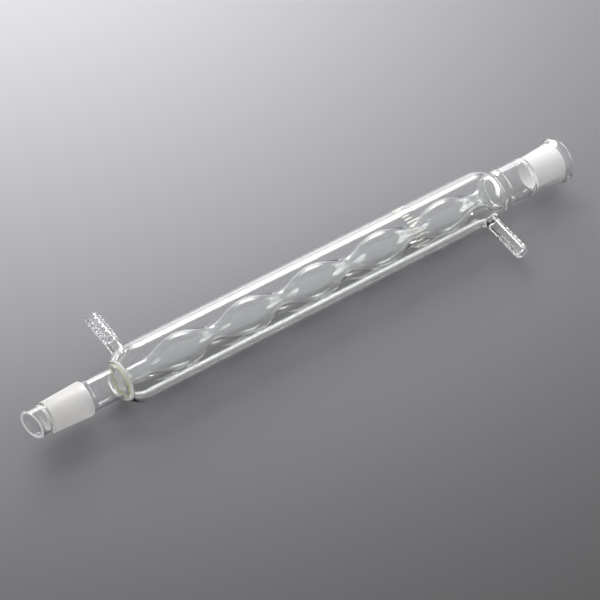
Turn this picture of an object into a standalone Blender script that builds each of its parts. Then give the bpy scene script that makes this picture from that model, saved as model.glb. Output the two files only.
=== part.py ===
"""Allihn condenser: a tube of five blown bulbs inside a water jacket, with a 24/29 cone and a 24/29 socket.

It lies on its jacket along X, with the cone end at -X, the socket end at +X and +Z up.
Every turned body shares one axis, AXIS_Z above the surface that the jacket lies on.
Lengths below are in millimetres; the meshes are in metres.
"""

import math

import bmesh
import bpy
from mathutils import Matrix, Vector

MM = 0.001
GAP = 0.3

# Overall: the ends of the drip tip and of the socket rim are the same distance from the origin.
LENGTH = 433.8
TIP_END = -LENGTH / 2
RIM_END = LENGTH / 2

# Standard taper joints, 24 mm across the large end, ground over 29 mm, widening 1 mm in 10 mm.
JOINT_RADIUS = 12.0
GROUND_LENGTH = 29.0
TAPER = 1 / 20
JOINT_SMALL_RADIUS = JOINT_RADIUS - GROUND_LENGTH * TAPER

# Drip tip, cut at a slant so that drops leave it at its longest side.
TIP_LENGTH = 12.5
TIP_RADIUS = 9.8
TIP_BORE = 7.9
TIP_SLANT = math.radians(13.5)
TIP_SLANT_TOWARDS = math.radians(174)

# Cone and the neck behind it.
CONE_START = TIP_END + TIP_LENGTH
CONE_LARGE_END = CONE_START + GROUND_LENGTH
CONE_END = CONE_LARGE_END + 4.7
CONE_THROAT = 6.3
LOWER_NECK_RADIUS = 10.5
LOWER_NECK_BORE = 8.9
LOWER_NECK_END = -153.4

# Water jacket: a 40 mm tube with a rounded shoulder at each end, from ring seal to ring seal.
JACKET_RADIUS = 20.0
JACKET_WALL = 1.9
JACKET_START = -146.9
JACKET_END = 154.6
JACKET_SIDES = 40
AXIS_Z = JACKET_RADIUS * math.cos(math.pi / JACKET_SIDES)
LOWER_SHOULDER_X = -132.6
LOWER_SHOULDER_LENGTH = 14.6
LOWER_SHOULDER_DROP = 6.8
UPPER_SHOULDER_X = 142.0
UPPER_SHOULDER_LENGTH = 14.2
UPPER_SHOULDER_DROP = 7.8

# Condensing tube: five bulbs blown one after another in a tube of 11 mm.
TUBE_RADIUS = 5.6
TUBE_WALL = 1.3
BULB_RADIUS = 12.6
BULB_ROUNDNESS = 0.85
BULB_STEPS = 8
FIRST_BULB_X = -127.6
BULB_LENGTHS = (51.3, 52.7, 55.6, 54.9, 53.3)
TUBE_START = -139.3
TUBE_END = FIRST_BULB_X + sum(BULB_LENGTHS)

# Upper neck and socket.
UPPER_NECK_START = 164.3
UPPER_NECK_END = 180.4
UPPER_NECK_RADIUS = 13.86
UPPER_NECK_BORE = 11.8
SOCKET_SMALL_X = 186.8
SOCKET_END = 208.0
SOCKET_NARROW_RADIUS = 12.9
SOCKET_WIDE_RADIUS = 14.0
RIM_RADIUS = 16.35

# Hose arms: one on each side of the jacket, the outlet 8.7 degrees below the horizontal.
ARM_TILT = math.radians(8.7)
INLET_X = -135.8
OUTLET_X = 139.4
ARM_REACH = 53.5
ARM_ROOT = 26.3
ARM_RADIUS = 4.75
ARM_BORE = 2.6
BARB_RADIUS = 5.3
BARB_GROOVE = 4.5
BARB_PITCH = 4.2
BARB_COUNT = 5
FIRST_BARB = 32.0
WELD_RADIUS = 7.8

TURNED_SIDES = 36
TUBE_SIDES = 20
ARM_SIDES = 20


def glass(name, tint, roughness):
    """A glass material: clear glass has a low roughness and ground glass a high one."""
    material = bpy.data.materials.new(name)
    material.use_nodes = True
    shader = material.node_tree.nodes["Principled BSDF"]
    shader.inputs["Base Color"].default_value = (*tint, 1)
    shader.inputs["Roughness"].default_value = roughness
    shader.inputs["Metallic"].default_value = 0
    shader.inputs["Transmission Weight"].default_value = 0.9
    shader.inputs["IOR"].default_value = 1.47
    return material


def body_from_rings(name, rings, material):
    """A closed ring-shaped body: each ring of points is joined to the next, and the last to the first."""
    mesh = bpy.data.meshes.new(name)
    shape = bmesh.new()
    loops = [[shape.verts.new(Vector(point) * MM) for point in ring] for ring in rings]
    for loop, following in zip(loops, loops[1:] + loops[:1]):
        for i in range(len(loop)):
            j = (i + 1) % len(loop)
            shape.faces.new((loop[i], loop[j], following[j], following[i]))
    bmesh.ops.recalc_face_normals(shape, faces=shape.faces)
    shape.to_mesh(mesh)
    shape.free()
    mesh.shade_smooth()
    mesh.set_sharp_from_angle(angle=math.radians(35))
    mesh.materials.append(material)
    body = bpy.data.objects.new(name, mesh)
    bpy.context.collection.objects.link(body)
    return body


def turned(name, outline, material, sides=TURNED_SIDES):
    """A body turned about the condenser's axis; the outline is a closed loop of (x, radius) points."""
    half_side = math.pi / sides
    rings = []
    for x, radius in outline:
        angles = [2 * math.pi * i / sides + half_side for i in range(sides)]
        rings.append([(x, radius * math.cos(a), AXIS_Z + radius * math.sin(a)) for a in angles])
    return body_from_rings(name, rings, material)


def shoulder_drop(x, start, length, drop):
    """How far a rounded shoulder has fallen below the tube's radius at x."""
    along = min(max((x - start) / length, 0), 1)
    return drop * (1 - math.sqrt(1 - along * along))


def jacket_radius(x, radius=JACKET_RADIUS, extra_drop=0.0):
    """The jacket's radius at x, with its rounded shoulders."""
    lower = shoulder_drop(x, LOWER_SHOULDER_X, -LOWER_SHOULDER_LENGTH, LOWER_SHOULDER_DROP + extra_drop)
    upper = shoulder_drop(x, UPPER_SHOULDER_X, UPPER_SHOULDER_LENGTH, UPPER_SHOULDER_DROP + extra_drop)
    return radius - lower - upper


def drip_tip(material):
    tip = turned(
        "drip_tip",
        [
            (TIP_END, TIP_RADIUS),
            (CONE_START - GAP, TIP_RADIUS),
            (CONE_START - GAP, TIP_BORE),
            (TIP_END, TIP_BORE),
        ],
        material,
    )
    slope = math.tan(TIP_SLANT)
    towards = Vector((0, math.cos(TIP_SLANT_TOWARDS), math.sin(TIP_SLANT_TOWARDS)))
    axis_point = Vector((0, 0, AXIS_Z * MM))
    for vertex in tip.data.vertices:
        if vertex.co.x < (TIP_END + 1) * MM:
            across = (vertex.co - axis_point).dot(towards)
            vertex.co.x += slope * (TIP_RADIUS * MM + across)
    return tip


def cone_joint(material):
    outline = [
        (CONE_START, JOINT_SMALL_RADIUS - 0.45),
        (CONE_START + 0.9, JOINT_SMALL_RADIUS),
        (CONE_LARGE_END - 0.5, JOINT_RADIUS - 0.03),
        (CONE_LARGE_END + 0.6, JOINT_RADIUS - 0.25),
        (CONE_LARGE_END + 3.4, LOWER_NECK_RADIUS + 0.3),
        (CONE_END, LOWER_NECK_RADIUS),
        (CONE_END, LOWER_NECK_BORE),
        (CONE_START + 5.5, LOWER_NECK_BORE - 0.6),
        (CONE_START + 1.6, CONE_THROAT),
        (CONE_START, CONE_THROAT),
    ]
    return turned("cone_joint", outline, material)


def lower_neck(material):
    outline = [
        (CONE_END + GAP, LOWER_NECK_RADIUS),
        (LOWER_NECK_END - GAP, LOWER_NECK_RADIUS),
        (LOWER_NECK_END - GAP, LOWER_NECK_BORE),
        (CONE_END + GAP, LOWER_NECK_BORE),
    ]
    return turned("lower_neck", outline, material)


def lower_ring_seal(material):
    """The flared seal that joins the neck, the jacket and the condensing tube at the cone end."""
    jacket_side = JACKET_START - GAP
    tube_side = TUBE_START - GAP
    outline = [
        (LOWER_NECK_END, LOWER_NECK_RADIUS),
        (LOWER_NECK_END + 1.1, LOWER_NECK_RADIUS + 1.1),
        (LOWER_NECK_END + 2.2, LOWER_NECK_RADIUS + 2.2),
        (LOWER_NECK_END + 3.5, LOWER_NECK_RADIUS + 3.1),
        (jacket_side, jacket_radius(JACKET_START) - 0.1),
        (jacket_side, jacket_radius(JACKET_START) - 2.1),
        (jacket_side + 0.7, 10.2),
        (jacket_side + 1.9, 8.3),
        (jacket_side + 3.7, 6.8),
        (jacket_side + 5.6, 6.0),
        (tube_side, TUBE_RADIUS),
        (tube_side, TUBE_RADIUS - TUBE_WALL),
        (jacket_side + 3.2, 4.6),
        (jacket_side + 0.6, 5.6),
        (jacket_side - 1.6, 7.4),
        (jacket_side - 3.4, 8.5),
        (LOWER_NECK_END, LOWER_NECK_BORE),
    ]
    return turned("lower_ring_seal", outline, material)


def jacket(material):
    """The jacket tube, with a round hole through its wall at each hose arm."""
    lower_steps = [math.sin(math.radians(a)) for a in (78.4, 62, 46, 31, 15)]
    upper_steps = [math.sin(math.radians(a)) for a in (14, 28, 42, 52, 62.5)]
    stations = [LOWER_SHOULDER_X - LOWER_SHOULDER_LENGTH * s for s in lower_steps]
    stations += [LOWER_SHOULDER_X, UPPER_SHOULDER_X]
    stations += [UPPER_SHOULDER_X + UPPER_SHOULDER_LENGTH * s for s in upper_steps]
    stations[0] = JACKET_START
    stations[-1] = JACKET_END
    outside = [(x, jacket_radius(x)) for x in stations]
    inside = [(x, jacket_radius(x, JACKET_RADIUS - JACKET_WALL, 0.2)) for x in reversed(stations)]
    tube = turned("water_jacket", outside + inside, material, JACKET_SIDES)
    for x, side in ((INLET_X, 1), (OUTLET_X, -1)):
        cut_hose_hole(tube, x, side)
    return tube


def arm_direction(side):
    """Unit vector along a hose arm: side 1 points to +Y and up, side -1 to -Y and down."""
    return Vector((0, side * math.cos(ARM_TILT), side * math.sin(ARM_TILT)))


def cut_hose_hole(tube, x, side):
    cutter_mesh = bpy.data.meshes.new("hose_hole_cutter")
    shape = bmesh.new()
    bmesh.ops.create_cone(
        shape,
        cap_ends=True,
        segments=ARM_SIDES,
        radius1=ARM_BORE * MM,
        radius2=ARM_BORE * MM,
        depth=10 * MM,
    )
    shape.to_mesh(cutter_mesh)
    shape.free()
    cutter = bpy.data.objects.new("hose_hole_cutter", cutter_mesh)
    bpy.context.collection.objects.link(cutter)
    cutter.matrix_world = arm_frame(x, side) @ Matrix.Translation((0, 0, JACKET_RADIUS * MM))
    cutter.hide_render = True
    cutter.display_type = "WIRE"
    hole = tube.modifiers.new("hose_hole_" + ("inlet" if side > 0 else "outlet"), "BOOLEAN")
    hole.operation = "DIFFERENCE"
    hole.solver = "EXACT"
    hole.object = cutter


def arm_frame(x, side):
    """Placement of a hose arm: its local Z runs outward from the condenser's axis, its local X along it."""
    outward = arm_direction(side)
    along = Vector((1, 0, 0))
    across = outward.cross(along)
    frame = Matrix((along, across, outward)).transposed().to_4x4()
    return Matrix.Translation((x * MM, 0, AXIS_Z * MM)) @ frame


def ring_in_arm_frame(radius, height):
    """A ring of points about an arm's own axis; height gives each point's reach from (along, across)."""
    ring = []
    for i in range(ARM_SIDES):
        angle = 2 * math.pi * i / ARM_SIDES
        along = radius * math.cos(angle)
        across = radius * math.sin(angle)
        ring.append((along, across, height(along, across)))
    return ring


def hose_arm(name, x, side, material):
    """A hose connection: a plain root, five barbs with their steep side to the root, and a round end."""
    outline = [(ARM_ROOT, ARM_RADIUS), (FIRST_BARB - 0.8, ARM_RADIUS - 0.15)]
    for i in range(BARB_COUNT):
        crest = FIRST_BARB + i * BARB_PITCH
        outline += [(crest, BARB_RADIUS), (crest + 0.6 * BARB_PITCH, BARB_GROOVE)]
    outline += [
        (ARM_REACH - 0.8, BARB_GROOVE - 0.15),
        (ARM_REACH, BARB_GROOVE - 0.7),
        (ARM_REACH, ARM_BORE),
        (ARM_ROOT, ARM_BORE),
    ]
    rings = [ring_in_arm_frame(radius, lambda a, b, reach=reach: reach) for reach, radius in outline]
    arm = body_from_rings(name, rings, material)
    arm.matrix_world = arm_frame(x, side)
    return arm


def arm_weld(name, x, side, material):
    """The flared weld between the jacket and a hose arm; its foot follows the jacket's surface."""

    def on_jacket(along, across):
        return math.sqrt(jacket_radius(x + along) ** 2 - across * across) + GAP

    def above_jacket(rise):
        return lambda along, across: on_jacket(along, across) + rise

    def level(reach):
        return lambda along, across: reach

    top = ARM_ROOT - GAP
    rings = [
        ring_in_arm_frame(WELD_RADIUS, above_jacket(0)),
        ring_in_arm_frame(WELD_RADIUS - 0.8, above_jacket(0.9)),
        ring_in_arm_frame(ARM_RADIUS + 1.1, above_jacket(2.0)),
        ring_in_arm_frame(ARM_RADIUS + 0.3, level(top - 1.7)),
        ring_in_arm_frame(ARM_RADIUS, level(top)),
        ring_in_arm_frame(ARM_BORE, level(top)),
        ring_in_arm_frame(ARM_BORE, above_jacket(0)),
        ring_in_arm_frame((ARM_BORE + WELD_RADIUS) / 2, above_jacket(0)),
    ]
    weld = body_from_rings(name, rings, material)
    weld.matrix_world = arm_frame(x, side)
    return weld


def bulb_outline():
    """(x, radius) points along the outside of the condensing tube, bulb after bulb."""
    points = [(TUBE_START, TUBE_RADIUS)]
    x = FIRST_BULB_X
    for length in BULB_LENGTHS:
        for i in range(BULB_STEPS):
            along = i / BULB_STEPS
            swell = (math.sin(math.pi * along) ** 2) ** BULB_ROUNDNESS
            points.append((x + along * length, TUBE_RADIUS + (BULB_RADIUS - TUBE_RADIUS) * swell))
        x += length
    points.append((TUBE_END, TUBE_RADIUS))
    return points


def condensing_tube(material):
    outside = bulb_outline()
    inside = [(x, radius - TUBE_WALL) for x, radius in reversed(outside)]
    return turned("condensing_tube", outside + inside, material, TUBE_SIDES)


def vapour_funnel(material):
    """The trumpet that widens the condensing tube to the ring seal at the socket end."""
    start = TUBE_END + GAP
    end = JACKET_END
    outline = [
        (start, TUBE_RADIUS),
        (start + 2.5, TUBE_RADIUS + 0.5),
        (start + 4.7, 6.9),
        (start + 6.7, 8.4),
        (start + 8.4, 10.6),
        (start + 10.5, 12.5),
        (start + 12.6, 13.3),
        (end, 13.5),
        (end, 12.0),
        (start + 11.3, 11.4),
        (start + 9.3, 9.6),
        (start + 7.5, 7.6),
        (start + 5.1, 5.6),
        (start + 2.5, TUBE_RADIUS - 0.9),
        (start, TUBE_RADIUS - TUBE_WALL),
    ]
    return turned("vapour_funnel", outline, material)


def upper_ring_seal(material):
    """The thick ring that joins the jacket, the funnel and the neck at the socket end."""
    start = JACKET_END + GAP
    end = UPPER_NECK_START - GAP
    outline = [
        (start, 15.5),
        (start + 1.1, 14.8),
        (start + 2.6, 14.2),
        (start + 3.8, 14.15),
        (start + 5.2, 14.6),
        (start + 6.8, 14.8),
        (end - 0.8, 14.3),
        (end, UPPER_NECK_RADIUS),
        (end, UPPER_NECK_BORE),
        (start + 2.0, UPPER_NECK_BORE),
        (start, 12.0),
        (start, 13.4),
        (start + 1.1, 13.8),
        (start, 14.1),
    ]
    return turned("upper_ring_seal", outline, material)


def upper_neck(material):
    outline = [
        (UPPER_NECK_START, UPPER_NECK_RADIUS),
        (UPPER_NECK_END, UPPER_NECK_RADIUS),
        (UPPER_NECK_END, UPPER_NECK_BORE),
        (UPPER_NECK_START, UPPER_NECK_BORE),
    ]
    return turned("upper_neck", outline, material)


def ground_bore(x):
    """The socket's ground bore at x, tapering to its small end."""
    return JOINT_SMALL_RADIUS + (x - SOCKET_SMALL_X) * TAPER


def socket_joint(material):
    start = UPPER_NECK_END + GAP
    outline = [
        (start, UPPER_NECK_RADIUS - 0.06),
        (start + 3.3, UPPER_NECK_RADIUS - 0.36),
        (start + 6.8, SOCKET_NARROW_RADIUS + 0.05),
        (start + 9.3, SOCKET_NARROW_RADIUS),
        (SOCKET_END, SOCKET_WIDE_RADIUS),
        (SOCKET_END, ground_bore(SOCKET_END)),
        (SOCKET_SMALL_X, JOINT_SMALL_RADIUS),
        (SOCKET_SMALL_X - 1.3, JOINT_SMALL_RADIUS + 0.25),
        (SOCKET_SMALL_X - 4.3, UPPER_NECK_BORE - 0.1),
        (start, UPPER_NECK_BORE),
    ]
    return turned("socket_joint", outline, material)


def socket_rim(material):
    """The clear rolled rim at the mouth, with a flat end face."""
    start = SOCKET_END + GAP
    outline = [
        (start, SOCKET_WIDE_RADIUS + 0.05),
        (start + 1.5, 14.9),
        (start + 3.0, 15.85),
        (start + 4.7, RIM_RADIUS),
        (RIM_END - 2.1, RIM_RADIUS - 0.15),
        (RIM_END - 0.7, RIM_RADIUS - 0.95),
        (RIM_END, RIM_RADIUS - 2.0),
        (RIM_END, 13.0),
        (RIM_END - 0.7, 12.3),
        (RIM_END - 1.6, ground_bore(RIM_END - 1.6)),
        (start, ground_bore(start)),
    ]
    return turned("socket_rim", outline, material)


def build():
    for old in list(bpy.data.objects):
        bpy.data.objects.remove(old, do_unlink=True)
    clear = glass("clear_glass", (0.93, 0.95, 0.95), 0.02)
    seal = glass("seal_glass", (0.86, 0.90, 0.78), 0.03)
    ground = glass("ground_glass", (0.93, 0.94, 0.95), 0.55)
    drip_tip(clear)
    cone_joint(ground)
    lower_neck(clear)
    lower_ring_seal(seal)
    jacket(clear)
    condensing_tube(clear)
    vapour_funnel(clear)
    upper_ring_seal(seal)
    upper_neck(clear)
    socket_joint(ground)
    socket_rim(clear)
    arm_weld("inlet_weld", INLET_X, 1, seal)
    hose_arm("inlet_hose_arm", INLET_X, 1, clear)
    arm_weld("outlet_weld", OUTLET_X, -1, seal)
    hose_arm("outlet_hose_arm", OUTLET_X, -1, clear)


build()
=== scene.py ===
"""A glass bulb condenser lying on a pale floor in soft studio light.

Each CAD piece is replaced by a finely turned glass piece in the same place. Neighbouring pieces meet
face to face, and the faces where they are fused together are invisible, so light passes through a joint
as it does through one piece of glass. Lengths are in millimetres until a mesh is made.
"""

import math

import bpy
import numpy as np
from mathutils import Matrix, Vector


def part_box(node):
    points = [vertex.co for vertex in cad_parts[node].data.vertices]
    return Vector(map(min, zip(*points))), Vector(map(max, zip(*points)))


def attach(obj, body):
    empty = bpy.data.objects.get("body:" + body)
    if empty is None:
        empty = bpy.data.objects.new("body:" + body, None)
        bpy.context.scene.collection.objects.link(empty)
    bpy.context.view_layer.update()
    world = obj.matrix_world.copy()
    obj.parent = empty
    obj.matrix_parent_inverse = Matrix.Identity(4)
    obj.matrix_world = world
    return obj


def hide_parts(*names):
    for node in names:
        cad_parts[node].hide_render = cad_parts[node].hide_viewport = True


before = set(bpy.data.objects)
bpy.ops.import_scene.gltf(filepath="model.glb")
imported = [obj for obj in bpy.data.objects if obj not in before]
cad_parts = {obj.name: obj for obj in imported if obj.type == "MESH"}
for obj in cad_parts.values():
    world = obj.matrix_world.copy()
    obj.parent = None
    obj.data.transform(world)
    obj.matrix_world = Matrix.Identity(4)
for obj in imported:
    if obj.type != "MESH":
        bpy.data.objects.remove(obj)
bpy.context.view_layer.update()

MM = 0.001
SIDES = 144
GLASS_IOR = 1.473


# Places along the axis, from the CAD pieces. A fused joint lies in the middle of the gap between two.
def low_x(node):
    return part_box(node)[0].x / MM


def high_x(node):
    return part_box(node)[1].x / MM


def joint_x(left, right):
    return (high_x(left) + low_x(right)) / 2


TIP_END = low_x("drip_tip")
TIP_X = joint_x("drip_tip", "cone_joint")
CONE_X = joint_x("cone_joint", "lower_neck")
LOWER_SEAL_X = joint_x("lower_neck", "lower_ring_seal")
JACKET_LOW_X = low_x("water_jacket") - (low_x("lower_ring_seal") - high_x("lower_neck")) / 2
TUBE_LOW_X = joint_x("lower_ring_seal", "condensing_tube")
TUBE_HIGH_X = joint_x("condensing_tube", "vapour_funnel")
UPPER_SEAL_X = joint_x("water_jacket", "upper_ring_seal")
UPPER_NECK_X = joint_x("upper_ring_seal", "upper_neck")
SOCKET_X = joint_x("upper_neck", "socket_joint")
RIM_X = joint_x("socket_joint", "socket_rim")
RIM_END = high_x("socket_rim")
INLET_X = (low_x("inlet_hose_arm") + high_x("inlet_hose_arm")) / 2
OUTLET_X = (low_x("outlet_hose_arm") + high_x("outlet_hose_arm")) / 2

# The axis that every turned piece shares; the jacket touches the floor under it.
AXIS_Z = (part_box("water_jacket")[0].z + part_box("water_jacket")[1].z) / 2 / MM
JACKET_RADIUS = AXIS_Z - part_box("water_jacket")[0].z / MM

# Standard taper joints, 24 mm across the large end, ground over 29 mm, widening 1 mm in 10 mm.
JOINT_RADIUS = 12.0
GROUND_LENGTH = 29.0
TAPER = 1 / 20
JOINT_SMALL_RADIUS = JOINT_RADIUS - GROUND_LENGTH * TAPER
SOCKET_SMALL_X = 186.8

# Tubes: outside radius and bore.
TIP_RADIUS, TIP_BORE = 9.8, 7.9
CONE_THROAT = 6.3
THROAT_LEAD = 1.8
LOWER_NECK_RADIUS, LOWER_NECK_BORE = 10.5, 8.9
UPPER_NECK_RADIUS, UPPER_NECK_BORE = 13.86, 11.8
TUBE_RADIUS, TUBE_WALL = 6.0, 1.3
JACKET_WALL = 1.9
TIP_SLANT = math.radians(13.5)
TIP_SLANT_TOWARDS = math.radians(174)
SLANT_CLEARANCE = 3.0

# Jacket shoulders: where each begins, how long it is and how far it falls. Inside they fall a little more.
LOWER_SHOULDER = (-132.6, -14.6, 6.8)
UPPER_SHOULDER = (142.0, 14.2, 7.8)
INSIDE_EXTRA = 0.2

# Bulbs of the condensing tube.
BULB_RADIUS = 12.4
BULB_ROUNDNESS = 0.84
FIRST_BULB_X = -130.2
BULB_LENGTHS = (53.8, 54.2, 54.6, 53.9, 53.9)
BULB_WALL, WAIST_WALL = 1.1, 1.9
WALL_BLEND = 12.0
BULB_RINGS = 560

# Socket rim.
RIM_RADIUS = 16.35
SOCKET_NARROW_RADIUS, SOCKET_WIDE_RADIUS = 12.9, 14.0

# Hose arms.
ARM_TILT = math.radians(8.7)
ARM_ROOT = 26.15
ARM_REACH = 53.5
ARM_RADIUS = 4.75
ARM_BORE = 2.6
BARB_RADIUS, BARB_GROOVE = 5.3, 4.5
BARB_PITCH, BARB_COUNT, FIRST_BARB = 4.2, 5, 32.0
WELD_RADIUS = 7.8
WELD_RINGS = 25
WELD_WAIST, WELD_RISE = 1.25, 1.1

# Enamel bars on the jacket, which stand from MARK_LIFT to MARK_TOP above it.
MARK_X = 76.3
MARK_TURN = math.radians(61)
MARK_STEP = math.radians(8.0)
MARK_WIDTH = math.radians(1.5)
MARK_BARS = 13
MARK_LONG, MARK_SHORT = 10.0, 5.5
MARK_LIFT, MARK_TOP = 0.01, 0.07

# Camera.
VIEW_AZIMUTH = math.radians(-36.4)
VIEW_ELEVATION = math.radians(43.46)
VIEW_DISTANCE = 1.704
VIEW_TARGET = Vector((-0.0106, -0.0045, 0.0161))
VIEW_LENS = 155.9

# The floor, in metres: its tone at the middle, and the light and shade painted on it: how fast painted light
# pales it away from the viewer, towards the back lamps, and how fast painted shade darkens it outwards.
FLOOR_SIZE = 16.0
FLOOR_CLEARANCE = 0.00005
FLOOR_TONE = (0.162, 0.1625, 0.170)
FLOOR_PAINTED_LIGHT = (0.0, 3.14, 0)
FLOOR_PAINTED_SHADE = 2.6
FLOOR_FALLOFF_LIMIT = 0.2
FLOOR_PALEST = (0.8, 0.8, 0.8)

# Strength of the soft light from above; from below it has a smaller share.
ROOM_LIGHT = 0.85
ROOM_LIGHT_BELOW = 0.7


# ---------------------------------------------------------------- materials

def new_material(name):
    material = bpy.data.materials.new(name)
    material.use_nodes = True
    return material, material.node_tree.nodes, material.node_tree.links


def math_node(nodes, operation, kind="ShaderNodeMath"):
    """A node that works out one operation, on values or, of the other kind, on vectors."""
    node = nodes.new(kind)
    node.operation = operation
    return node


def pass_light(nodes, links, facing, edge_on):
    """Lets light on its way to a matt surface through the glass, so that what lies behind it is lit.
    A surface met squarely passes the share called facing, and one met at a grazing angle edge_on."""
    through_glass = nodes.new("ShaderNodeBsdfTransparent")
    slope = nodes.new("ShaderNodeLayerWeight")
    slope.inputs["Blend"].default_value = 0.5
    steep = math_node(nodes, "POWER")
    steep.inputs[1].default_value = 2.0
    passed = nodes.new("ShaderNodeMapRange")
    passed.inputs["To Min"].default_value = facing
    passed.inputs["To Max"].default_value = edge_on
    links.new(slope.outputs["Facing"], steep.inputs[0])
    links.new(steep.outputs["Value"], passed.inputs["Value"])
    links.new(passed.outputs["Result"], through_glass.inputs["Color"])
    rays = nodes.new("ShaderNodeLightPath")
    lighting = math_node(nodes, "MAXIMUM")
    either = nodes.new("ShaderNodeMixShader")
    links.new(rays.outputs["Is Shadow Ray"], lighting.inputs[0])
    links.new(rays.outputs["Is Diffuse Ray"], lighting.inputs[1])
    links.new(lighting.outputs["Value"], either.inputs[0])
    links.new(nodes["Principled BSDF"].outputs["BSDF"], either.inputs[1])
    links.new(through_glass.outputs["BSDF"], either.inputs[2])
    links.new(either.outputs["Shader"], nodes["Material Output"].inputs["Surface"])


def stretched_noise(nodes, links, scale, detail):
    """A noise whose grain is as fine along each direction as scale says."""
    place = nodes.new("ShaderNodeTexCoord")
    stretch = nodes.new("ShaderNodeMapping")
    stretch.inputs["Scale"].default_value = scale
    noise = nodes.new("ShaderNodeTexNoise")
    noise.inputs["Scale"].default_value = 1.0
    noise.inputs["Detail"].default_value = detail
    links.new(place.outputs["Object"], stretch.inputs["Vector"])
    links.new(stretch.outputs["Vector"], noise.inputs["Vector"])
    return noise.outputs["Fac"]


def roughen(nodes, links, height, strength, distance):
    """Adds small relief to the surface."""
    bump = nodes.new("ShaderNodeBump")
    bump.inputs["Strength"].default_value = strength
    bump.inputs["Distance"].default_value = distance
    links.new(height, bump.inputs["Height"])
    links.new(bump.outputs["Normal"], nodes["Principled BSDF"].inputs["Normal"])


def glass_material(name, tint):
    """Clear borosilicate glass with the long faint striae of drawn tube."""
    material, nodes, links = new_material(name)
    shader = nodes["Principled BSDF"]
    shader.inputs["Base Color"].default_value = (*tint, 1)
    shader.inputs["Roughness"].default_value = 0.0
    shader.inputs["IOR"].default_value = GLASS_IOR
    shader.inputs["Transmission Weight"].default_value = 1
    striae = stretched_noise(nodes, links, (14, 160, 160), 2.0)
    roughen(nodes, links, striae, 0.006, 0.001)
    pass_light(nodes, links, 0.925, 0.1)
    return material


def ground_material(name, passes, tint=(0.98, 0.98, 0.975)):
    """Glass ground matt, with fine rings left by the grinding tool; passes is the share of light let by."""
    material, nodes, links = new_material(name)
    shader = nodes["Principled BSDF"]
    shader.inputs["Base Color"].default_value = (*tint, 1)
    shader.inputs["IOR"].default_value = GLASS_IOR
    shader.inputs["Transmission Weight"].default_value = passes
    shader.inputs["Sheen Weight"].default_value = 0.4
    shader.inputs["Sheen Roughness"].default_value = 0.3
    rings = stretched_noise(nodes, links, (2600, 60, 60), 3.0)
    spread = nodes.new("ShaderNodeMapRange")
    spread.inputs["To Min"].default_value = 0.8
    spread.inputs["To Max"].default_value = 1.0
    links.new(rings, spread.inputs["Value"])
    links.new(spread.outputs["Result"], shader.inputs["Roughness"])
    roughen(nodes, links, rings, 0.25, 0.0002)
    pass_light(nodes, links, 0.6, 0.3)
    return material


def fused_material():
    """The inner face of a fused joint, which can't be seen."""
    material, nodes, _ = new_material("fused_joint")
    shader = nodes["Principled BSDF"]
    shader.inputs["Alpha"].default_value = 0
    shader.inputs["IOR"].default_value = GLASS_IOR
    return material


def enamel_material():
    """Fired enamel, matt off-white, thin in places."""
    material, nodes, links = new_material("white_enamel")
    shader = nodes["Principled BSDF"]
    shader.inputs["Roughness"].default_value = 0.55
    place = nodes.new("ShaderNodeTexCoord")
    noise = nodes.new("ShaderNodeTexNoise")
    noise.inputs["Scale"].default_value = 900.0
    ramp = nodes.new("ShaderNodeValToRGB")
    ramp.color_ramp.elements[0].color = (0.66, 0.63, 0.54, 1)
    ramp.color_ramp.elements[1].color = (0.84, 0.82, 0.75, 1)
    links.new(place.outputs["Object"], noise.inputs["Vector"])
    links.new(noise.outputs["Fac"], ramp.inputs["Fac"])
    links.new(ramp.outputs["Color"], shader.inputs["Base Color"])
    return material


CLEAR, SEAL, GROUND, FUSED, ENAMEL, BORE, RING, BEAD, EDGE = range(9)
MATERIALS = [
    glass_material("clear_glass", (0.985, 0.99, 0.988)),
    glass_material("seal_glass", (0.975, 0.985, 0.955)),
    ground_material("ground_glass", 0.5, (0.87, 0.855, 0.83)),
    fused_material(),
    enamel_material(),
    ground_material("ground_bore", 0.3, (0.84, 0.84, 0.84)),
    ground_material("ring_edge", 0.5, (0.86, 0.93, 0.50)),
    ground_material("ring_bead", 0.6, (0.98, 0.985, 0.96)),
    ground_material("ground_edge", 0.1),
]


# ---------------------------------------------------------------- meshes

class Shell:
    """Gathers grids of points into one closed mesh, with a normal at each face corner."""

    def __init__(self):
        self.corners = []
        self.normals = []
        self.slots = []

    def add(self, grid, normals, slots, keep=None, mirrored=False):
        """Adds a grid of points (rows, columns, 3) that closes on itself around; slots has one value per row
        of faces. The columns of a mirrored grid run the other way round."""
        for source, store in ((grid, self.corners), (normals, self.normals)):
            onward = np.roll(source, -1, axis=1)
            quads = [source[:-1], onward[:-1], onward[1:], source[1:]]
            quads = np.stack(quads[::-1] if mirrored else quads, axis=2)
            store.append(quads[keep] if keep is not None else quads.reshape(-1, 4, 3))
        by_face = np.repeat(np.asarray(slots)[:, None], grid.shape[1], axis=1)
        self.slots.append(by_face[keep] if keep is not None else by_face.reshape(-1))

    def build(self, name):
        corners = np.concatenate(self.corners).reshape(-1, 3)
        places, which = np.unique(np.round(corners, 6), axis=0, return_inverse=True)
        mesh = bpy.data.meshes.new(name)
        mesh.from_pydata(places * MM, [], which.reshape(-1, 4).tolist())
        slots = np.concatenate(self.slots)
        used = sorted(set(slots.tolist()))
        for slot in used:
            mesh.materials.append(MATERIALS[slot])
        mesh.polygons.foreach_set("material_index", np.searchsorted(used, slots).astype(np.int32))
        mesh.shade_smooth()
        mesh.normals_split_custom_set(np.concatenate(self.normals).reshape(-1, 3).tolist())
        mesh.update()
        piece = bpy.data.objects.new(name, mesh)
        bpy.context.scene.collection.objects.link(piece)
        return piece


ANGLES = ARM_TILT + 2 * np.pi * np.arange(SIDES) / SIDES
COSINES, SINES = np.cos(ANGLES), np.sin(ANGLES)


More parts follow.
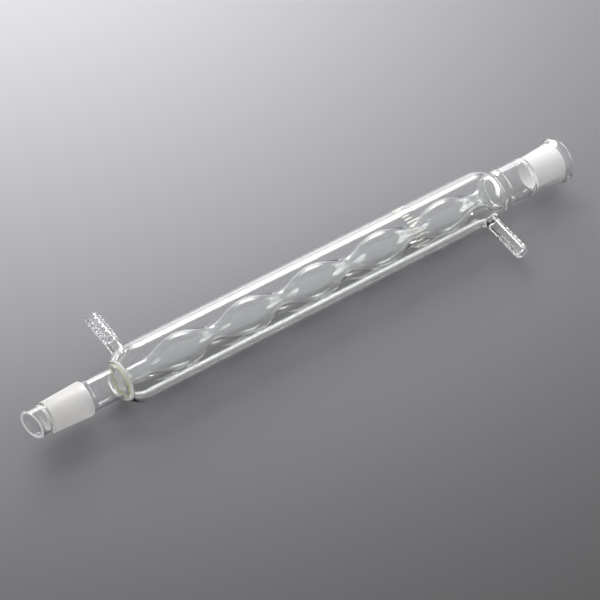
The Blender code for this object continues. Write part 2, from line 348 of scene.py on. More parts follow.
def turned_grid(outline):
    """The points of an outline of (x, radius) turned about the axis."""
    outline = np.asarray(outline, float)
    x = np.repeat(outline[:, :1], SIDES, axis=1)
    return np.stack([x, outline[:, 1:] * COSINES, AXIS_Z + outline[:, 1:] * SINES], axis=2)


def directions(line):
    """The direction of a line at each of its points."""
    steps = np.diff(np.asarray(line, float), axis=0)
    steps /= np.linalg.norm(steps, axis=1)[:, None]
    along = np.concatenate([steps[:1], steps[:-1] + steps[1:], steps[-1:]])
    return along / np.linalg.norm(along, axis=1)[:, None]


def turned_normals(outline):
    """The outward normals of a turned outline; outward is to the left of its direction."""
    along = directions(outline)
    x = np.repeat(-along[:, 1:], SIDES, axis=1)
    return np.stack([x, along[:, :1] * COSINES, along[:, :1] * SINES], axis=2)


def through(points, step=0.35):
    """A smooth line through (x, radius) points, with a point about every step."""
    points = np.asarray(points, float)
    ends = [2 * points[0] - points[1], *points, 2 * points[-1] - points[-2]]
    line = []
    for before, start, end, after in zip(ends, ends[1:], ends[2:], ends[3:]):
        span = np.linalg.norm(end - start)
        span_before = max(np.linalg.norm(start - before), 1e-6)
        span_after = max(np.linalg.norm(after - end), 1e-6)
        slope_start = (
            (start - before) / span_before - (end - before) / (span_before + span) + (end - start) / span
        ) * span
        slope_end = (
            (end - start) / span - (after - start) / (span + span_after) + (after - end) / span_after
        ) * span
        count = max(2, int(np.ceil(span / step)))
        t = np.arange(count)[:, None] / count
        line.append(
            (2 * t**3 - 3 * t**2 + 1) * start
            + (t**3 - 2 * t**2 + t) * slope_start
            + (3 * t**2 - 2 * t**3) * end
            + (t**3 - t**2) * slope_end
        )
    return np.concatenate([*line, points[-1:]])


def turned(name, sides, warp=None):
    """A closed body turned about the axis. Its sides follow one another around the outline; each is
    (points, slot), and a slot may also be a function of x."""
    shell = Shell()
    for points, slot in sides:
        points = np.asarray(points, float)
        middles = (points[:-1, 0] + points[1:, 0]) / 2
        slots = [slot(x) if callable(slot) else slot for x in middles]
        grid = turned_grid(points)
        if warp:
            grid = warp(grid)
        shell.add(grid, turned_normals(points), slots)
    return shell.build(name)


def finish_piece(piece, slot, *nodes):
    """Fixes a piece to the part; nodes are the CAD nodes that it stands in for."""
    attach(piece, "root")
    if nodes:
        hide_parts(*nodes)


def fused_side(start, end):
    """The flat face between two points, where a piece is fused to its neighbour."""
    return ([start, end], FUSED)


def sleeve(name, outer, inner, outer_slot=CLEAR, inner_slot=CLEAR):
    """A turned tube that is fused to a neighbour at both ends."""
    sides = [
        (outer, outer_slot),
        fused_side(outer[-1], inner[0]),
        (inner, inner_slot),
        fused_side(inner[-1], outer[0]),
    ]
    return turned(name, sides)


# ---------------------------------------------------------------- cone end

def slanted(grid):
    """Moves the end of the tip so that it is cut at a slant."""
    y, z = grid[..., 1], grid[..., 2] - AXIS_Z
    across = y * math.cos(TIP_SLANT_TOWARDS) + z * math.sin(TIP_SLANT_TOWARDS)
    fixed = TIP_X - SLANT_CLEARANCE
    share = np.clip((fixed - grid[..., 0]) / (fixed - TIP_END), 0, 1)
    moved = grid.copy()
    moved[..., 0] += math.tan(TIP_SLANT) * (TIP_RADIUS + across) * share
    return moved


def eased(x, start, length):
    """A smooth rise from 0 to 1 over a length that begins at start."""
    share = np.clip((x - start) / length, 0, 1)
    return share * share * (3 - 2 * share)


def bore_at_tip(x):
    """The bore through the tip and into the cone, which narrows to a throat inside the cone."""
    narrowed = (TIP_BORE - CONE_THROAT) * eased(x, TIP_X - THROAT_LEAD, 2.6)
    widened = (LOWER_NECK_BORE - CONE_THROAT) * eased(x, TIP_X + 2.0, 8.0)
    return TIP_BORE - narrowed + widened


def drip_tip():
    round_end = 0.45
    outside = [
        (TIP_END, TIP_RADIUS - round_end),
        (TIP_END + 0.13, TIP_RADIUS - 0.16),
        (TIP_END + round_end, TIP_RADIUS),
        (TIP_END + 3, TIP_RADIUS),
    ]
    outer = np.concatenate([through(outside, 0.12), [(TIP_X - 1, TIP_RADIUS), (TIP_X, TIP_RADIUS)]])
    xs = np.arange(TIP_X, TIP_END + 1.5, -0.3)
    inner = [(x, bore_at_tip(x)) for x in xs]
    inside_end = [
        (TIP_END + 1.2, TIP_BORE),
        (TIP_END + round_end, TIP_BORE),
        (TIP_END + 0.13, TIP_BORE + 0.16),
        (TIP_END, TIP_BORE + round_end),
    ]
    inner = np.concatenate([inner, through(inside_end, 0.12)])
    face = [inner[-1], outer[0]]

    def cut(x):
        return EDGE if x < TIP_END + round_end else CLEAR

    def throat(x):
        return GROUND if x > TIP_X - THROAT_LEAD else cut(x)

    sides = [(outer, cut), fused_side(outer[-1], inner[0]), (inner, throat), (face, EDGE)]
    finish_piece(turned("drip_tip_glass", sides, slanted), "clear_glass", "drip_tip")


def cone():
    start = TIP_X
    large = start + 0.15 + GROUND_LENGTH
    neck = LOWER_NECK_RADIUS
    ground_low = start + 0.9
    foot = through(
        [(start, TIP_RADIUS), (start + 0.3, TIP_RADIUS + 0.1), (start + 1.0, JOINT_SMALL_RADIUS)], 0.15
    )
    taper = [
        (start + 1.0 + d, JOINT_SMALL_RADIUS + (d + 0.85) * TAPER)
        for d in np.arange(0.5, GROUND_LENGTH - 1, 1.0)
    ]
    shoulder = through(
        [
            (large - 0.6, JOINT_RADIUS - 0.04),
            (large + 0.5, JOINT_RADIUS - 0.22),
            (large + 1.8, neck + 0.85),
            (large + 3.2, neck + 0.2),
            (large + 4.2, neck),
            (CONE_X, neck),
        ],
        0.25,
    )
    outer = np.concatenate([foot, taper, shoulder])
    xs = np.concatenate([np.arange(CONE_X, start + 12, -3.0), np.arange(start + 12, start, -0.4), [start]])
    inner = [(x, bore_at_tip(x)) for x in xs]

    def ground(x):
        return GROUND if ground_low < x < large else CLEAR

    def throat(x):
        return GROUND if x < ground_low else CLEAR

    finish_piece(sleeve("cone_glass", outer, inner, ground, throat), "ground_glass", "cone_joint")


def plain_tube(name, start, end, radius, bore, node):
    outer = [(start, radius), (end, radius)]
    inner = [(end, bore), (start, bore)]
    finish_piece(sleeve(name, outer, inner), "clear_glass", node)


def lower_seal():
    """The flared seal where the neck, the jacket and the condensing tube are fused together."""
    start = LOWER_SEAL_X
    rim = JACKET_LOW_X
    jacket_out, jacket_in = jacket_radius(rim), jacket_bore(rim)
    outer = through(
        [
            (start, LOWER_NECK_RADIUS),
            (start + 0.8, LOWER_NECK_RADIUS + 0.35),
            (start + 2.0, LOWER_NECK_RADIUS + 1.5),
            (start + 3.3, LOWER_NECK_RADIUS + 2.75),
            (start + 4.6, LOWER_NECK_RADIUS + 3.35),
            (start + 5.7, LOWER_NECK_RADIUS + 3.6),
            (rim, jacket_out),
        ],
        0.2,
    )
    water = through(
        [
            (rim, jacket_in),
            (rim + 0.35, 11.9),
            (rim + 0.9, 10.7),
            (rim + 1.7, 9.2),
            (rim + 2.8, 7.9),
            (rim + 4.2, 6.95),
            (rim + 5.8, 6.3),
            (TUBE_LOW_X, TUBE_RADIUS),
        ],
        0.2,
    )
    vapour = through(
        [
            (TUBE_LOW_X, TUBE_RADIUS - TUBE_WALL),
            (rim + 4.8, 4.95),
            (rim + 3.0, 5.5),
            (rim + 1.5, 6.5),
            (rim + 0.3, 8.0),
            (rim - 0.6, 9.8),
            (rim - 1.5, 11.0),
            (rim - 2.6, 11.4),
            (rim - 3.6, 10.9),
            (rim - 4.6, 9.7),
            (rim - 5.5, 9.0),
            (start, LOWER_NECK_BORE),
        ],
        0.2,
    )

    def ring(x):
        return RING if rim - 2.5 < x < rim - 1.2 else SEAL

    def bead(x):
        return BEAD if rim - 2.4 < x < rim - 0.3 else SEAL

    sides = [
        (outer, bead),
        fused_side(outer[-1], water[0]),
        (water, SEAL),
        fused_side(water[-1], vapour[0]),
        (vapour, ring),
        fused_side(vapour[-1], outer[0]),
    ]
    finish_piece(turned("lower_seal_glass", sides), "seal_glass", "lower_ring_seal")


# ---------------------------------------------------------------- jacket

def shoulder_drop(x, shoulder, extra=0.0):
    """How far a rounded shoulder has fallen below the tube's radius at x."""
    start, length, drop = shoulder
    along = np.clip((x - start) / length, 0, 1)
    return (drop + extra) * (1 - np.sqrt(1 - along * along))


def jacket_radius(x):
    return JACKET_RADIUS - shoulder_drop(x, LOWER_SHOULDER) - shoulder_drop(x, UPPER_SHOULDER)


def jacket_bore(x):
    """The jacket's inside radius at x."""
    drop = shoulder_drop(x, LOWER_SHOULDER, INSIDE_EXTRA) + shoulder_drop(x, UPPER_SHOULDER, INSIDE_EXTRA)
    return JACKET_RADIUS - JACKET_WALL - drop


# Around each arm a window in the jacket's grid, this far along and this many columns to each side, is
# filled with rings of points about the arm. ARMS has each arm's place along the jacket and its column.
WINDOW = 10.4
WINDOW_CELLS = 26
WINDOW_TURN = 12
FOOT_RINGS = (ARM_BORE, 4.3, 6.0, WELD_RADIUS)
RING_SHARES = (0.2, 0.45, 0.72)
ARMS = {"inlet": (INLET_X, 0), "outlet": (OUTLET_X, SIDES // 2)}


def jacket_stations():
    """Places along the jacket where its rings of points lie, closer together at the shoulders and arms,
    and the row at which each arm's window begins."""
    low = INLET_X + np.linspace(-WINDOW, WINDOW, WINDOW_CELLS + 1)
    high = OUTLET_X + np.linspace(-WINDOW, WINDOW, WINDOW_CELLS + 1)
    before = np.linspace(JACKET_LOW_X, low[0], 5)[:-1]
    between = np.linspace(low[-1], high[0], 60)[1:-1]
    after = high[-1] + (UPPER_SEAL_X - high[-1]) * np.sin(np.linspace(0, math.pi / 2, 13))[1:]
    low_row = len(before)
    high_row = low_row + len(low) + len(between)
    return np.concatenate([before, low, between, high, after]), (low_row, high_row)


def on_skin(radius_at, x0, turn, along, across):
    """The point of a turned skin at a place given along and across from an arm's axis, and its normal."""
    x = x0 + along
    radius = radius_at(x)
    angle = turn + np.arcsin(across / radius)
    point = np.stack([x, radius * np.cos(angle), AXIS_Z + radius * np.sin(angle)], axis=-1)
    return point, skin_normal(radius_at, x, angle)


def skin_normal(radius_at, x, angle):
    slope = (radius_at(x + 0.01) - radius_at(x - 0.01)) / 0.02
    size = np.sqrt(1 + slope * slope)
    return np.stack([-slope / size, np.cos(angle) / size, np.sin(angle) / size], axis=-1)


def window_edge(first_row, column):
    """The (row, column) of each grid point around an arm's window, in the direction of rising angle."""
    last_row = first_row + WINDOW_CELLS
    turns = range(-WINDOW_TURN, WINDOW_TURN)
    edge = [(last_row, column + t) for t in turns]
    edge += [(r, column + WINDOW_TURN) for r in range(last_row, first_row, -1)]
    edge += [(first_row, column - t) for t in turns]
    edge += [(r, column - WINDOW_TURN) for r in range(first_row, last_row)]
    return edge


def arm_turn(column):
    """The angle about the axis at which an arm stands."""
    return ARM_TILT + 2 * math.pi * column / SIDES


def arm_rings(radius_at, arm, stations, grid, radii):
    """Rings of points from the hose hole out to the edge of an arm's window, with their normals."""
    x0, column, first_row = arm
    turn = arm_turn(column)
    edge = window_edge(first_row, column)
    places = np.array([grid[r, c % SIDES] for r, c in edge])
    along = np.array([stations[r] - x0 for r, c in edge])
    offsets = np.array([2 * math.pi * (c - column) / SIDES for r, c in edge])
    across = radius_at(x0 + along) * np.sin(offsets)
    bearing = np.arctan2(across, along)
    points, normals = [], []
    for radius in radii:
        p, n = on_skin(radius_at, x0, turn, radius * np.cos(bearing), radius * np.sin(bearing))
        points.append(p)
        normals.append(n)
    for share in RING_SHARES:
        part_along = along * share + radii[-1] * np.cos(bearing) * (1 - share)
        part_across = across * share + radii[-1] * np.sin(bearing) * (1 - share)
        p, n = on_skin(radius_at, x0, turn, part_along, part_across)
        points.append(p)
        normals.append(n)
    points.append(places)
    normals.append(skin_normal(radius_at, x0 + along, turn + offsets))
    return np.array(points), np.array(normals), bearing


def jacket():
    """The water jacket, with a hose hole at each arm; the arm's weld covers the skin around the hole.
    Returns each arm's foot on the jacket: its rings of points and the bearing of each column."""
    stations, first_rows = jacket_stations()
    shell = Shell()
    skins = {}
    clear = [CLEAR] * (len(stations) - 1)
    for name, radius_at in (("outside", jacket_radius), ("inside", jacket_bore)):
        grid = turned_grid(np.stack([stations, radius_at(stations)], axis=1))
        normals = np.stack([skin_normal(radius_at, np.full(SIDES, x), ANGLES) for x in stations])
        keep = np.ones((len(stations) - 1, SIDES), bool)
        for (_, column), first_row in zip(ARMS.values(), first_rows):
            columns = np.arange(column - WINDOW_TURN, column + WINDOW_TURN) % SIDES
            keep[first_row:first_row + WINDOW_CELLS, columns] = False
        skins[name] = grid
        if name == "outside":
            shell.add(grid, normals, clear, keep)
        else:
            shell.add(grid[::-1], -normals[::-1], clear, keep[::-1])
    feet = {}
    for (name, (x0, column)), first_row in zip(ARMS.items(), first_rows):
        arm = (x0, column, first_row)
        outer, outer_normals, bearing = arm_rings(jacket_radius, arm, stations, skins["outside"], FOOT_RINGS)
        inner, inner_normals, _ = arm_rings(jacket_bore, arm, stations, skins["inside"], FOOT_RINGS)
        slots = [FUSED] * (len(FOOT_RINGS) - 1) + [CLEAR] * (len(outer) - len(FOOT_RINGS))
        shell.add(outer[::-1], outer_normals[::-1], slots[::-1], mirrored=True)
        shell.add(inner, -inner_normals, [CLEAR] * (len(inner) - 1), mirrored=True)
        wall = np.array([outer[0], inner[0]])
        inward = arm_vectors(arm_turn(column), -np.cos(bearing), -np.sin(bearing), 0.0)
        shell.add(wall, np.array([inward, inward]), [CLEAR], mirrored=True)
        feet[name] = (outer[: len(FOOT_RINGS)], bearing)
    for x, flip in ((stations[0], False), (stations[-1], True)):
        ends = [(x, jacket_bore(x)), (x, jacket_radius(x))]
        ends = ends[::-1] if flip else ends
        shell.add(turned_grid(ends), turned_normals(ends), [FUSED])
    finish_piece(shell.build("jacket_glass"), "clear_glass", "water_jacket")
    return feet


def graduation_mark():
    """A plain scale of enamel bars fired on the jacket, each a thin closed slab that follows the tube."""
    corners = []
    faces = []
    for i in range(MARK_BARS):
        middle = MARK_TURN + i * MARK_STEP
        length = MARK_LONG if i % 3 == 0 else MARK_SHORT
        base = len(corners)
        # Sixteen corners: four around the tube at each end of the bar, under it and then on top of it.
        for radius in (JACKET_RADIUS + MARK_LIFT, JACKET_RADIUS + MARK_TOP):
            for x in (MARK_X, MARK_X + length):
                for turn in np.linspace(middle - MARK_WIDTH, middle + MARK_WIDTH, 4):
                    corners.append((x, radius * math.cos(turn), AXIS_Z + radius * math.sin(turn)))
        for j in range(3):
            faces.append([base + k + j for k in (0, 1, 5, 4)])
            faces.append([base + k + j for k in (8, 12, 13, 9)])
            faces.append([base + k + j for k in (0, 8, 9, 1)])
            faces.append([base + k + j for k in (4, 5, 13, 12)])
        faces.append([base + k for k in (0, 4, 12, 8)])
        faces.append([base + k for k in (3, 11, 15, 7)])
    mesh = bpy.data.meshes.new("graduation_mark")
    mesh.from_pydata((np.array(corners) * MM).tolist(), [], faces)
    mesh.materials.append(MATERIALS[ENAMEL])
    mesh.update()
    piece = bpy.data.objects.new("graduation_mark", mesh)
    bpy.context.scene.collection.objects.link(piece)
    finish_piece(piece, "white_enamel")


# ---------------------------------------------------------------- hose arms

def arm_vectors(turn, along, across, outward):
    """Vectors given in an arm's own directions, in the model's."""
    along, across, outward = np.broadcast_arrays(along, across, outward)
    y = outward * math.cos(turn) - across * math.sin(turn)
    z = outward * math.sin(turn) + across * math.cos(turn)
    return np.stack([along, y, z], axis=-1)


def arm_ring(x0, turn, bearing, radius, reach):
    """A ring of points about an arm's axis."""
    ring = arm_vectors(turn, radius * np.cos(bearing), radius * np.sin(bearing), reach)
    return ring + np.array([x0, 0, AXIS_Z])


def ring_normals(rings):
    """Smooth normals of a stack of rings, from the differences along and around it."""
    rows = np.gradient(rings, axis=0)
    around = (np.roll(rings, -1, axis=1) - np.roll(rings, 1, axis=1)) / 2
    normals = np.cross(rows, around)
    normals /= np.maximum(np.linalg.norm(normals, axis=2), 1e-12)[..., None]
    return normals


def weld(name, x0, foot, bearing, turn):
    """The flare by which an arm is fused to the jacket."""
    outward = arm_vectors(turn, 0.0, 0.0, 1.0)
    inward = arm_vectors(turn, -np.cos(bearing), -np.sin(bearing), 0.0)
    base = (foot[-1] - np.array([x0, 0, AXIS_Z])) @ outward
    rings = [foot[-1]]
    for turned_by in np.linspace(0, math.pi / 2, WELD_RINGS)[1:]:
        radius = ARM_RADIUS + (WELD_RADIUS - ARM_RADIUS) * (1 - math.sin(turned_by)) ** WELD_WAIST
        lift = (1 - math.cos(turned_by)) ** WELD_RISE
        rings.append(arm_ring(x0, turn, bearing, radius, base + (ARM_ROOT - base) * lift))
    flare = np.array(rings)
    bore_top = arm_ring(x0, turn, bearing, ARM_BORE, ARM_ROOT)
    shell = Shell()
    shell.add(flare, ring_normals(flare), [SEAL] * (len(flare) - 1), mirrored=True)
    top = np.array([flare[-1], bore_top])
    shell.add(top, np.broadcast_to(outward, top.shape), [FUSED], mirrored=True)
    bore = np.array([bore_top, foot[0]])
    shell.add(bore, np.array([inward, inward]), [SEAL], mirrored=True)
    shell.add(foot, np.broadcast_to(-outward, foot.shape), [FUSED] * (len(foot) - 1), mirrored=True)
    finish_piece(shell.build(f"{name}_weld_glass"), "seal_glass", f"{name}_weld")


def barbed_outline():
    """(reach, radius) along the outside of an arm: each barb rises steeply and falls slowly to the tip."""
    points = [(ARM_ROOT, ARM_RADIUS), (ARM_ROOT + 2.5, ARM_RADIUS), (FIRST_BARB - 1.5, ARM_RADIUS - 0.15)]
    for i in range(BARB_COUNT):
        crest = FIRST_BARB + i * BARB_PITCH
        points += [
            (crest - 0.35, BARB_RADIUS - 0.12),
            (crest + 0.3, BARB_RADIUS - 0.03),
            (crest + 0.55 * BARB_PITCH, BARB_GROOVE + 0.06),
            (crest + 0.7 * BARB_PITCH, BARB_GROOVE),
        ]
    points += [
        (ARM_REACH - 0.9, BARB_GROOVE + 0.1),
        (ARM_REACH - 0.25, BARB_GROOVE - 0.25),
        (ARM_REACH, BARB_GROOVE - 0.8),
    ]
    return through(points, 0.18)


def hose_arm(name, x0, bearing, turn):
    """A barbed hose arm with a rounded mouth."""
    outer = barbed_outline()
    lip = 0.5
    mouth = through(
        [(ARM_REACH, ARM_BORE + lip), (ARM_REACH - 0.15, ARM_BORE + 0.15), (ARM_REACH - lip, ARM_BORE)], 0.12
    )
    inner = np.concatenate([mouth, [(ARM_REACH - 2, ARM_BORE), (ARM_ROOT, ARM_BORE)]])
    shell = Shell()
    for line, slot in (
        (outer, CLEAR),
        ([outer[-1], inner[0]], CLEAR),
        (inner, CLEAR),
        ([inner[-1], outer[0]], FUSED),
    ):
        rings, normals = [], []
        for (reach, radius), (rise, widen) in zip(line, directions(line)):
            rings.append(arm_ring(x0, turn, bearing, radius, reach))
            normals.append(arm_vectors(turn, rise * np.cos(bearing), rise * np.sin(bearing), -widen))
        shell.add(np.array(rings), np.array(normals), [slot] * (len(line) - 1), mirrored=True)
    finish_piece(shell.build(f"{name}_arm_glass"), "clear_glass", f"{name}_hose_arm")


# ---------------------------------------------------------------- condensing tube

def bulb_radius(x):
    """The outside radius of the condensing tube at x."""
    start = FIRST_BULB_X
    for length in BULB_LENGTHS:
        if start <= x <= start + length:
            swell = math.sin(math.pi * (x - start) / length) ** 2
            return TUBE_RADIUS + (BULB_RADIUS - TUBE_RADIUS) * swell**BULB_ROUNDNESS
        start += length
    return TUBE_RADIUS


def bulb_wall(x):
    """The tube's wall at x: blowing leaves it thin at the bulbs and thick at the waists between them."""
    share = (bulb_radius(x) - TUBE_RADIUS) / (BULB_RADIUS - TUBE_RADIUS)
    wall = BULB_WALL + (WAIST_WALL - BULB_WALL) * (1 - share) ** 3
    from_end = min(abs(x - FIRST_BULB_X), abs(x - FIRST_BULB_X - sum(BULB_LENGTHS)))
    if share == 0:
        return TUBE_WALL
    return TUBE_WALL + (wall - TUBE_WALL) * min(from_end / WALL_BLEND, 1)


def bulb_tube():
    xs = np.linspace(TUBE_LOW_X, TUBE_HIGH_X, BULB_RINGS)
    outer = [(x, bulb_radius(x)) for x in xs]
    inner = [(x, bulb_radius(x) - bulb_wall(x)) for x in xs[::-1]]
    finish_piece(sleeve("bulb_tube_glass", outer, inner), "clear_glass", "condensing_tube")


def funnel():
    """The trumpet that widens the condensing tube to the upper ring seal."""
    start, end = TUBE_HIGH_X, UPPER_SEAL_X
    outer = through(
        [
            (start, TUBE_RADIUS),
            (start + 2.5, TUBE_RADIUS + 0.35),
            (start + 4.7, 7.1),
            (start + 6.7, 8.4),
            (start + 8.4, 10.6),
            (start + 10.5, 12.5),
            (start + 12.6, 13.3),
            (end, 13.5),
        ],
        0.2,
    )
    inner = through(
        [
            (end, 12.0),
            (start + 11.3, 11.4),
            (start + 9.3, 9.6),
            (start + 7.5, 7.5),
            (start + 5.1, 5.8),
            (start + 2.5, TUBE_RADIUS - 0.95),
            (start, TUBE_RADIUS - TUBE_WALL),
        ],
        0.2,
    )
    finish_piece(sleeve("funnel_glass", outer, inner), "clear_glass", "vapour_funnel")


# ---------------------------------------------------------------- socket end

def upper_seal():
    start, end = UPPER_SEAL_X, UPPER_NECK_X
    outer = through(
        [
            (start, jacket_radius(start)),
            (start + 1.2, 14.75),
            (start + 2.6, 14.2),
            (start + 3.8, 14.15),
            (start + 5.0, 14.55),
            (start + 6.4, 14.8),
            (start + 7.6, 14.6),
            (end - 0.8, 14.05),
            (end, UPPER_NECK_RADIUS),
        ],
        0.2,
    )
    bore = [(end, UPPER_NECK_BORE), (start + 2.0, UPPER_NECK_BORE), (start, 12.0)]
    groove = through([(start, 13.5), (start + 0.9, 13.62), (start, jacket_bore(start))], 0.15)
    sides = [
        (outer, SEAL),
        fused_side(outer[-1], bore[0]),
        (bore, SEAL),
        fused_side(bore[-1], groove[0]),
        (groove, SEAL),
        fused_side(groove[-1], outer[0]),
    ]
    finish_piece(turned("upper_seal_glass", sides), "seal_glass", "upper_ring_seal")


def ground_bore(x):
    """The socket's ground bore at x."""
    return JOINT_SMALL_RADIUS + (x - SOCKET_SMALL_X) * TAPER


def socket():
    start, end = SOCKET_X, RIM_X
    outer = through(
        [
            (start, UPPER_NECK_RADIUS),
            (start + 1.5, UPPER_NECK_RADIUS - 0.06),
            (start + 3.6, UPPER_NECK_RADIUS - 0.42),
            (start + 6.8, SOCKET_NARROW_RADIUS + 0.05),
            (start + 9.3, SOCKET_NARROW_RADIUS),
            (start + 18, SOCKET_NARROW_RADIUS + 0.5),
            (end - 1, SOCKET_WIDE_RADIUS - 0.06),
            (end, SOCKET_WIDE_RADIUS),
        ],
        0.3,
    )
    taper = [(x, ground_bore(x)) for x in np.arange(end, SOCKET_SMALL_X, -0.8)]
    shoulder = through(
        [
            (SOCKET_SMALL_X, JOINT_SMALL_RADIUS),
            (SOCKET_SMALL_X - 1.3, JOINT_SMALL_RADIUS + 0.2),
            (SOCKET_SMALL_X - 3.0, UPPER_NECK_BORE - 0.45),
            (SOCKET_SMALL_X - 4.6, UPPER_NECK_BORE - 0.05),
            (start, UPPER_NECK_BORE),
        ],
        0.25,
    )
    inner = np.concatenate([taper, shoulder])

    def ground(x):
        return BORE if x > SOCKET_SMALL_X else CLEAR

    finish_piece(sleeve("socket_glass", outer, inner, CLEAR, ground), "ground_glass", "socket_joint")


def rim():
    start, end = RIM_X, RIM_END
    outer = through(
        [
            (start, SOCKET_WIDE_RADIUS),
            (start + 0.8, SOCKET_WIDE_RADIUS + 0.25),
            (start + 2.0, SOCKET_WIDE_RADIUS + 1.15),
            (start + 3.4, RIM_RADIUS - 0.3),
            (start + 4.9, RIM_RADIUS),
            (end - 2.1, RIM_RADIUS - 0.2),
            (end - 0.7, RIM_RADIUS - 1.0),
            (end, RIM_RADIUS - 2.1),
        ],
        0.2,
    )
    inner = through(
        [
            (end, 13.0),
            (end - 0.5, 12.35),
            (end - 1.6, ground_bore(end - 1.6)),
            (end - 3, ground_bore(end - 3)),
            (start, ground_bore(start)),
        ],
        0.25,
    )
    face = [outer[-1], inner[0]]

    def ground(x):
        return BORE if x < end - 5.2 else CLEAR

    sides = [(outer, CLEAR), (face, CLEAR), (inner, ground), fused_side(inner[-1], outer[0])]
    finish_piece(turned("rim_glass", sides), "clear_glass", "socket_rim")


# ---------------------------------------------------------------- stage

def flat_sheet(name, corners):
    """A stage piece of one face, with its material's nodes and links."""
    mesh = bpy.data.meshes.new(name)
    mesh.from_pydata(corners, [], [(0, 1, 2, 3)])
    material, nodes, links = new_material(name)
    mesh.materials.append(material)
    piece = bpy.data.objects.new(name, mesh)
    bpy.context.scene.collection.objects.link(piece)
    return piece, nodes, links


def floor():
    """The floor, whose tone changes by e to the power of (fade along the place - falloff with the square of
    the distance from the middle): painted light that pales it towards the back lamps, painted shade
    outwards."""
    half = FLOOR_SIZE / 2
    corners = [(-half, -half, 0), (half, -half, 0), (half, half, 0), (-half, half, 0)]
    piece, nodes, links = flat_sheet("floor", corners)
    piece.location.z = -FLOOR_CLEARANCE
    shader = nodes["Principled BSDF"]
    shader.inputs["Roughness"].default_value = 0.6
    place = nodes.new("ShaderNodeTexCoord")
    # Painted light: the floor's tone pales away from the viewer, towards the back lamps.
    fade = math_node(nodes, "DOT_PRODUCT", "ShaderNodeVectorMath")
    fade.inputs[1].default_value = FLOOR_PAINTED_LIGHT
    # Painted shade: the floor's tone darkens with the square of the distance from the middle.
    distance_squared = math_node(nodes, "DOT_PRODUCT", "ShaderNodeVectorMath")
    near = math_node(nodes, "MINIMUM")
    near.inputs[1].default_value = FLOOR_FALLOFF_LIMIT
    falloff = math_node(nodes, "MULTIPLY")
    falloff.inputs[1].default_value = -FLOOR_PAINTED_SHADE
    total = math_node(nodes, "ADD")
    power = math_node(nodes, "POWER")
    power.inputs[0].default_value = math.e
    tone = math_node(nodes, "SCALE", "ShaderNodeVectorMath")
    tone.inputs[0].default_value = FLOOR_TONE
    ceiling = math_node(nodes, "MINIMUM", "ShaderNodeVectorMath")
    ceiling.inputs[1].default_value = FLOOR_PALEST
    links.new(place.outputs["Object"], distance_squared.inputs[0])
    links.new(place.outputs["Object"], distance_squared.inputs[1])
    links.new(distance_squared.outputs["Value"], near.inputs[0])
    links.new(near.outputs["Value"], falloff.inputs[0])
    links.new(falloff.outputs["Value"], total.inputs[0])
    links.new(place.outputs["Object"], fade.inputs[0])
    links.new(fade.outputs["Value"], total.inputs[1])
    links.new(total.outputs["Value"], power.inputs[1])
    links.new(power.outputs["Value"], tone.inputs["Scale"])
    links.new(tone.outputs["Vector"], ceiling.inputs[0])
    links.new(ceiling.outputs["Vector"], shader.inputs["Base Color"])


def brightness_along(nodes, links, direction, stops):
    """A value that follows (place, brightness) stops along a direction through the scene."""
    place = nodes.new("ShaderNodeTexCoord")
    along = math_node(nodes, "DOT_PRODUCT", "ShaderNodeVectorMath")
    along.inputs[1].default_value = direction
    first, last = stops[0][0], stops[-1][0]
    share = nodes.new("ShaderNodeMapRange")
    share.inputs["From Min"].default_value = first
    share.inputs["From Max"].default_value = last
    ramp = nodes.new("ShaderNodeValToRGB")
    ramp.color_ramp.interpolation = "EASE"
    while len(ramp.color_ramp.elements) < len(stops):
        ramp.color_ramp.elements.new(0.5)
    for element, (at, value) in zip(ramp.color_ramp.elements, stops):
        element.position = (at - first) / (last - first)
        element.color = (value, value, value, 1)
    links.new(place.outputs["Object"], along.inputs[0])
    links.new(along.outputs["Value"], share.inputs["Value"])
    links.new(share.outputs["Result"], ramp.inputs["Fac"])
    return ramp.outputs["Color"]


def light_sheet(name, corners, brightness, mirrored=True):
    """A sheet that glows and isn't seen itself; mirrored says whether it shows in the glass."""
    piece, nodes, links = flat_sheet(name, corners)
    nodes.remove(nodes["Principled BSDF"])
    glow = nodes.new("ShaderNodeEmission")
    glow.inputs["Strength"].default_value = brightness
    links.new(glow.outputs["Emission"], nodes["Material Output"].inputs["Surface"])
    piece.visible_camera = False
    piece.visible_glossy = mirrored
    piece.visible_transmission = mirrored
    return glow, nodes, links


def panel(name, azimuth, distance, across, upward, brightness):
    """A soft panel that stands at an azimuth from the object; across and upward are (place, brightness)
    stops."""
    outward = Vector((math.cos(azimuth), math.sin(azimuth), 0))
    sideways = Vector((-math.sin(azimuth), math.cos(azimuth), 0))
    up = Vector((0, 0, 1))
    corners = []
    for side, height in ((0, 0), (-1, 0), (-1, -1), (0, -1)):
        corners.append(outward * distance + sideways * across[side][0] + up * upward[height][0])
    glow, nodes, links = light_sheet(name, corners, brightness)
    product = math_node(nodes, "MULTIPLY", "ShaderNodeVectorMath")
    links.new(brightness_along(nodes, links, sideways, across), product.inputs[0])
    links.new(brightness_along(nodes, links, up, upward), product.inputs[1])
    links.new(product.outputs["Vector"], glow.inputs["Color"])


def lamp(name, azimuth, elevation, distance, width, height, brightness, mirrored=True):
    """A soft lamp that faces the object."""
    level = math.cos(elevation)
    outward = Vector((math.cos(azimuth) * level, math.sin(azimuth) * level, math.sin(elevation)))
    sideways = Vector((-math.sin(azimuth), math.cos(azimuth), 0))
    up = outward.cross(sideways)
    corners = []
    for side, rise in ((-1, -1), (1, -1), (1, 1), (-1, 1)):
        corners.append(outward * distance + sideways * side * width / 2 + up * rise * height / 2)
    light_sheet(name, corners, brightness, mirrored)


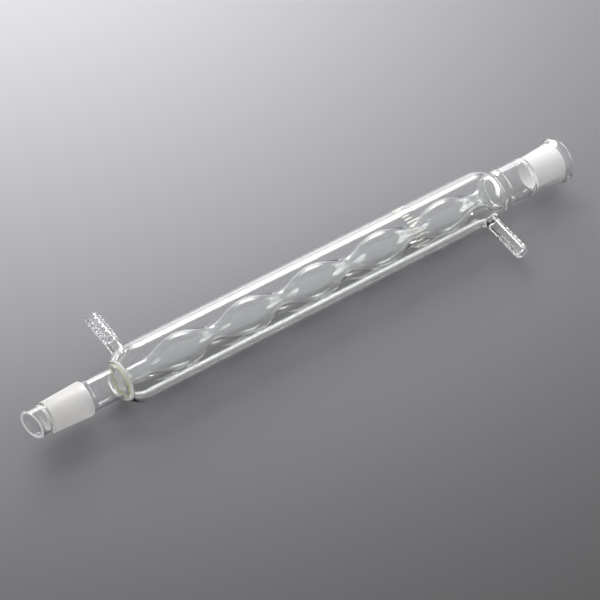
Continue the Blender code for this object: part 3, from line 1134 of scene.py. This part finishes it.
def stage():
    floor()
    lamp("key_lamp", math.radians(80), math.radians(50), 1.6, 0.7, 0.5, 14.0, mirrored=False)
    lamp("right_lamp", math.radians(0), math.radians(15), 1.4, 1.5, 0.45, 6.5)
    panel(
        "back_panel",
        math.radians(61),
        1.5,
        [(-0.55, 0), (-0.36, 0.3), (-0.17, 0.9), (0.05, 1), (0.25, 0.95), (0.5, 0.45), (0.75, 0)],
        [(0.0, 0.15), (0.3, 0.17), (0.45, 0.25), (0.58, 0.6), (0.68, 1), (0.95, 1), (1.12, 0.8), (1.22, 0)],
        10.0,
    )
    room()


def room():
    """Soft light from all around, a little stronger from above."""
    world = bpy.data.worlds.new("room")
    world.use_nodes = True
    nodes, links = world.node_tree.nodes, world.node_tree.links
    background = nodes["Background"]
    background.inputs["Color"].default_value = (0.98, 0.98, 1, 1)
    direction = nodes.new("ShaderNodeTexCoord")
    parts = nodes.new("ShaderNodeSeparateXYZ")
    strength = nodes.new("ShaderNodeMapRange")
    strength.inputs["From Min"].default_value = -1.0
    strength.inputs["From Max"].default_value = 1.0
    strength.inputs["To Min"].default_value = ROOM_LIGHT * ROOM_LIGHT_BELOW
    strength.inputs["To Max"].default_value = ROOM_LIGHT
    links.new(direction.outputs["Generated"], parts.inputs["Vector"])
    links.new(parts.outputs["Z"], strength.inputs["Value"])
    links.new(strength.outputs["Result"], background.inputs["Strength"])
    bpy.context.scene.world = world


def camera():
    back = Vector(
        (
            math.sin(VIEW_AZIMUTH) * math.cos(VIEW_ELEVATION),
            -math.cos(VIEW_AZIMUTH) * math.cos(VIEW_ELEVATION),
            math.sin(VIEW_ELEVATION),
        )
    )
    data = bpy.data.cameras.new("camera")
    data.lens = VIEW_LENS
    data.sensor_width = 36
    data.clip_start = 0.01
    eye = bpy.data.objects.new("camera", data)
    eye.location = VIEW_TARGET + back * VIEW_DISTANCE
    eye.rotation_euler = back.to_track_quat("Z", "Y").to_euler()
    bpy.context.scene.collection.objects.link(eye)
    bpy.context.scene.camera = eye


def light_paths():
    """Enough bounces for light to cross every wall of the glass."""
    scene = bpy.context.scene
    scene.view_settings.view_transform = "Standard"
    scene.cycles.max_bounces = 28
    scene.cycles.transmission_bounces = 28
    scene.cycles.glossy_bounces = 12
    scene.cycles.diffuse_bounces = 4
    scene.cycles.transparent_max_bounces = 40
    scene.cycles.caustics_reflective = False
    scene.cycles.caustics_refractive = False
    scene.cycles.use_denoising = True


camera()
stage()
light_paths()
drip_tip()
cone()
plain_tube("lower_neck_glass", CONE_X, LOWER_SEAL_X, LOWER_NECK_RADIUS, LOWER_NECK_BORE, "lower_neck")
lower_seal()
feet = jacket()
graduation_mark()
for arm_name, (arm_x, arm_column) in ARMS.items():
    foot_rings, columns_bearing = feet[arm_name]
    weld(arm_name, arm_x, foot_rings, columns_bearing, arm_turn(arm_column))
    hose_arm(arm_name, arm_x, columns_bearing, arm_turn(arm_column))
bulb_tube()
funnel()
upper_seal()
plain_tube("upper_neck_glass", UPPER_NECK_X, SOCKET_X, UPPER_NECK_RADIUS, UPPER_NECK_BORE, "upper_neck")
socket()
rim()
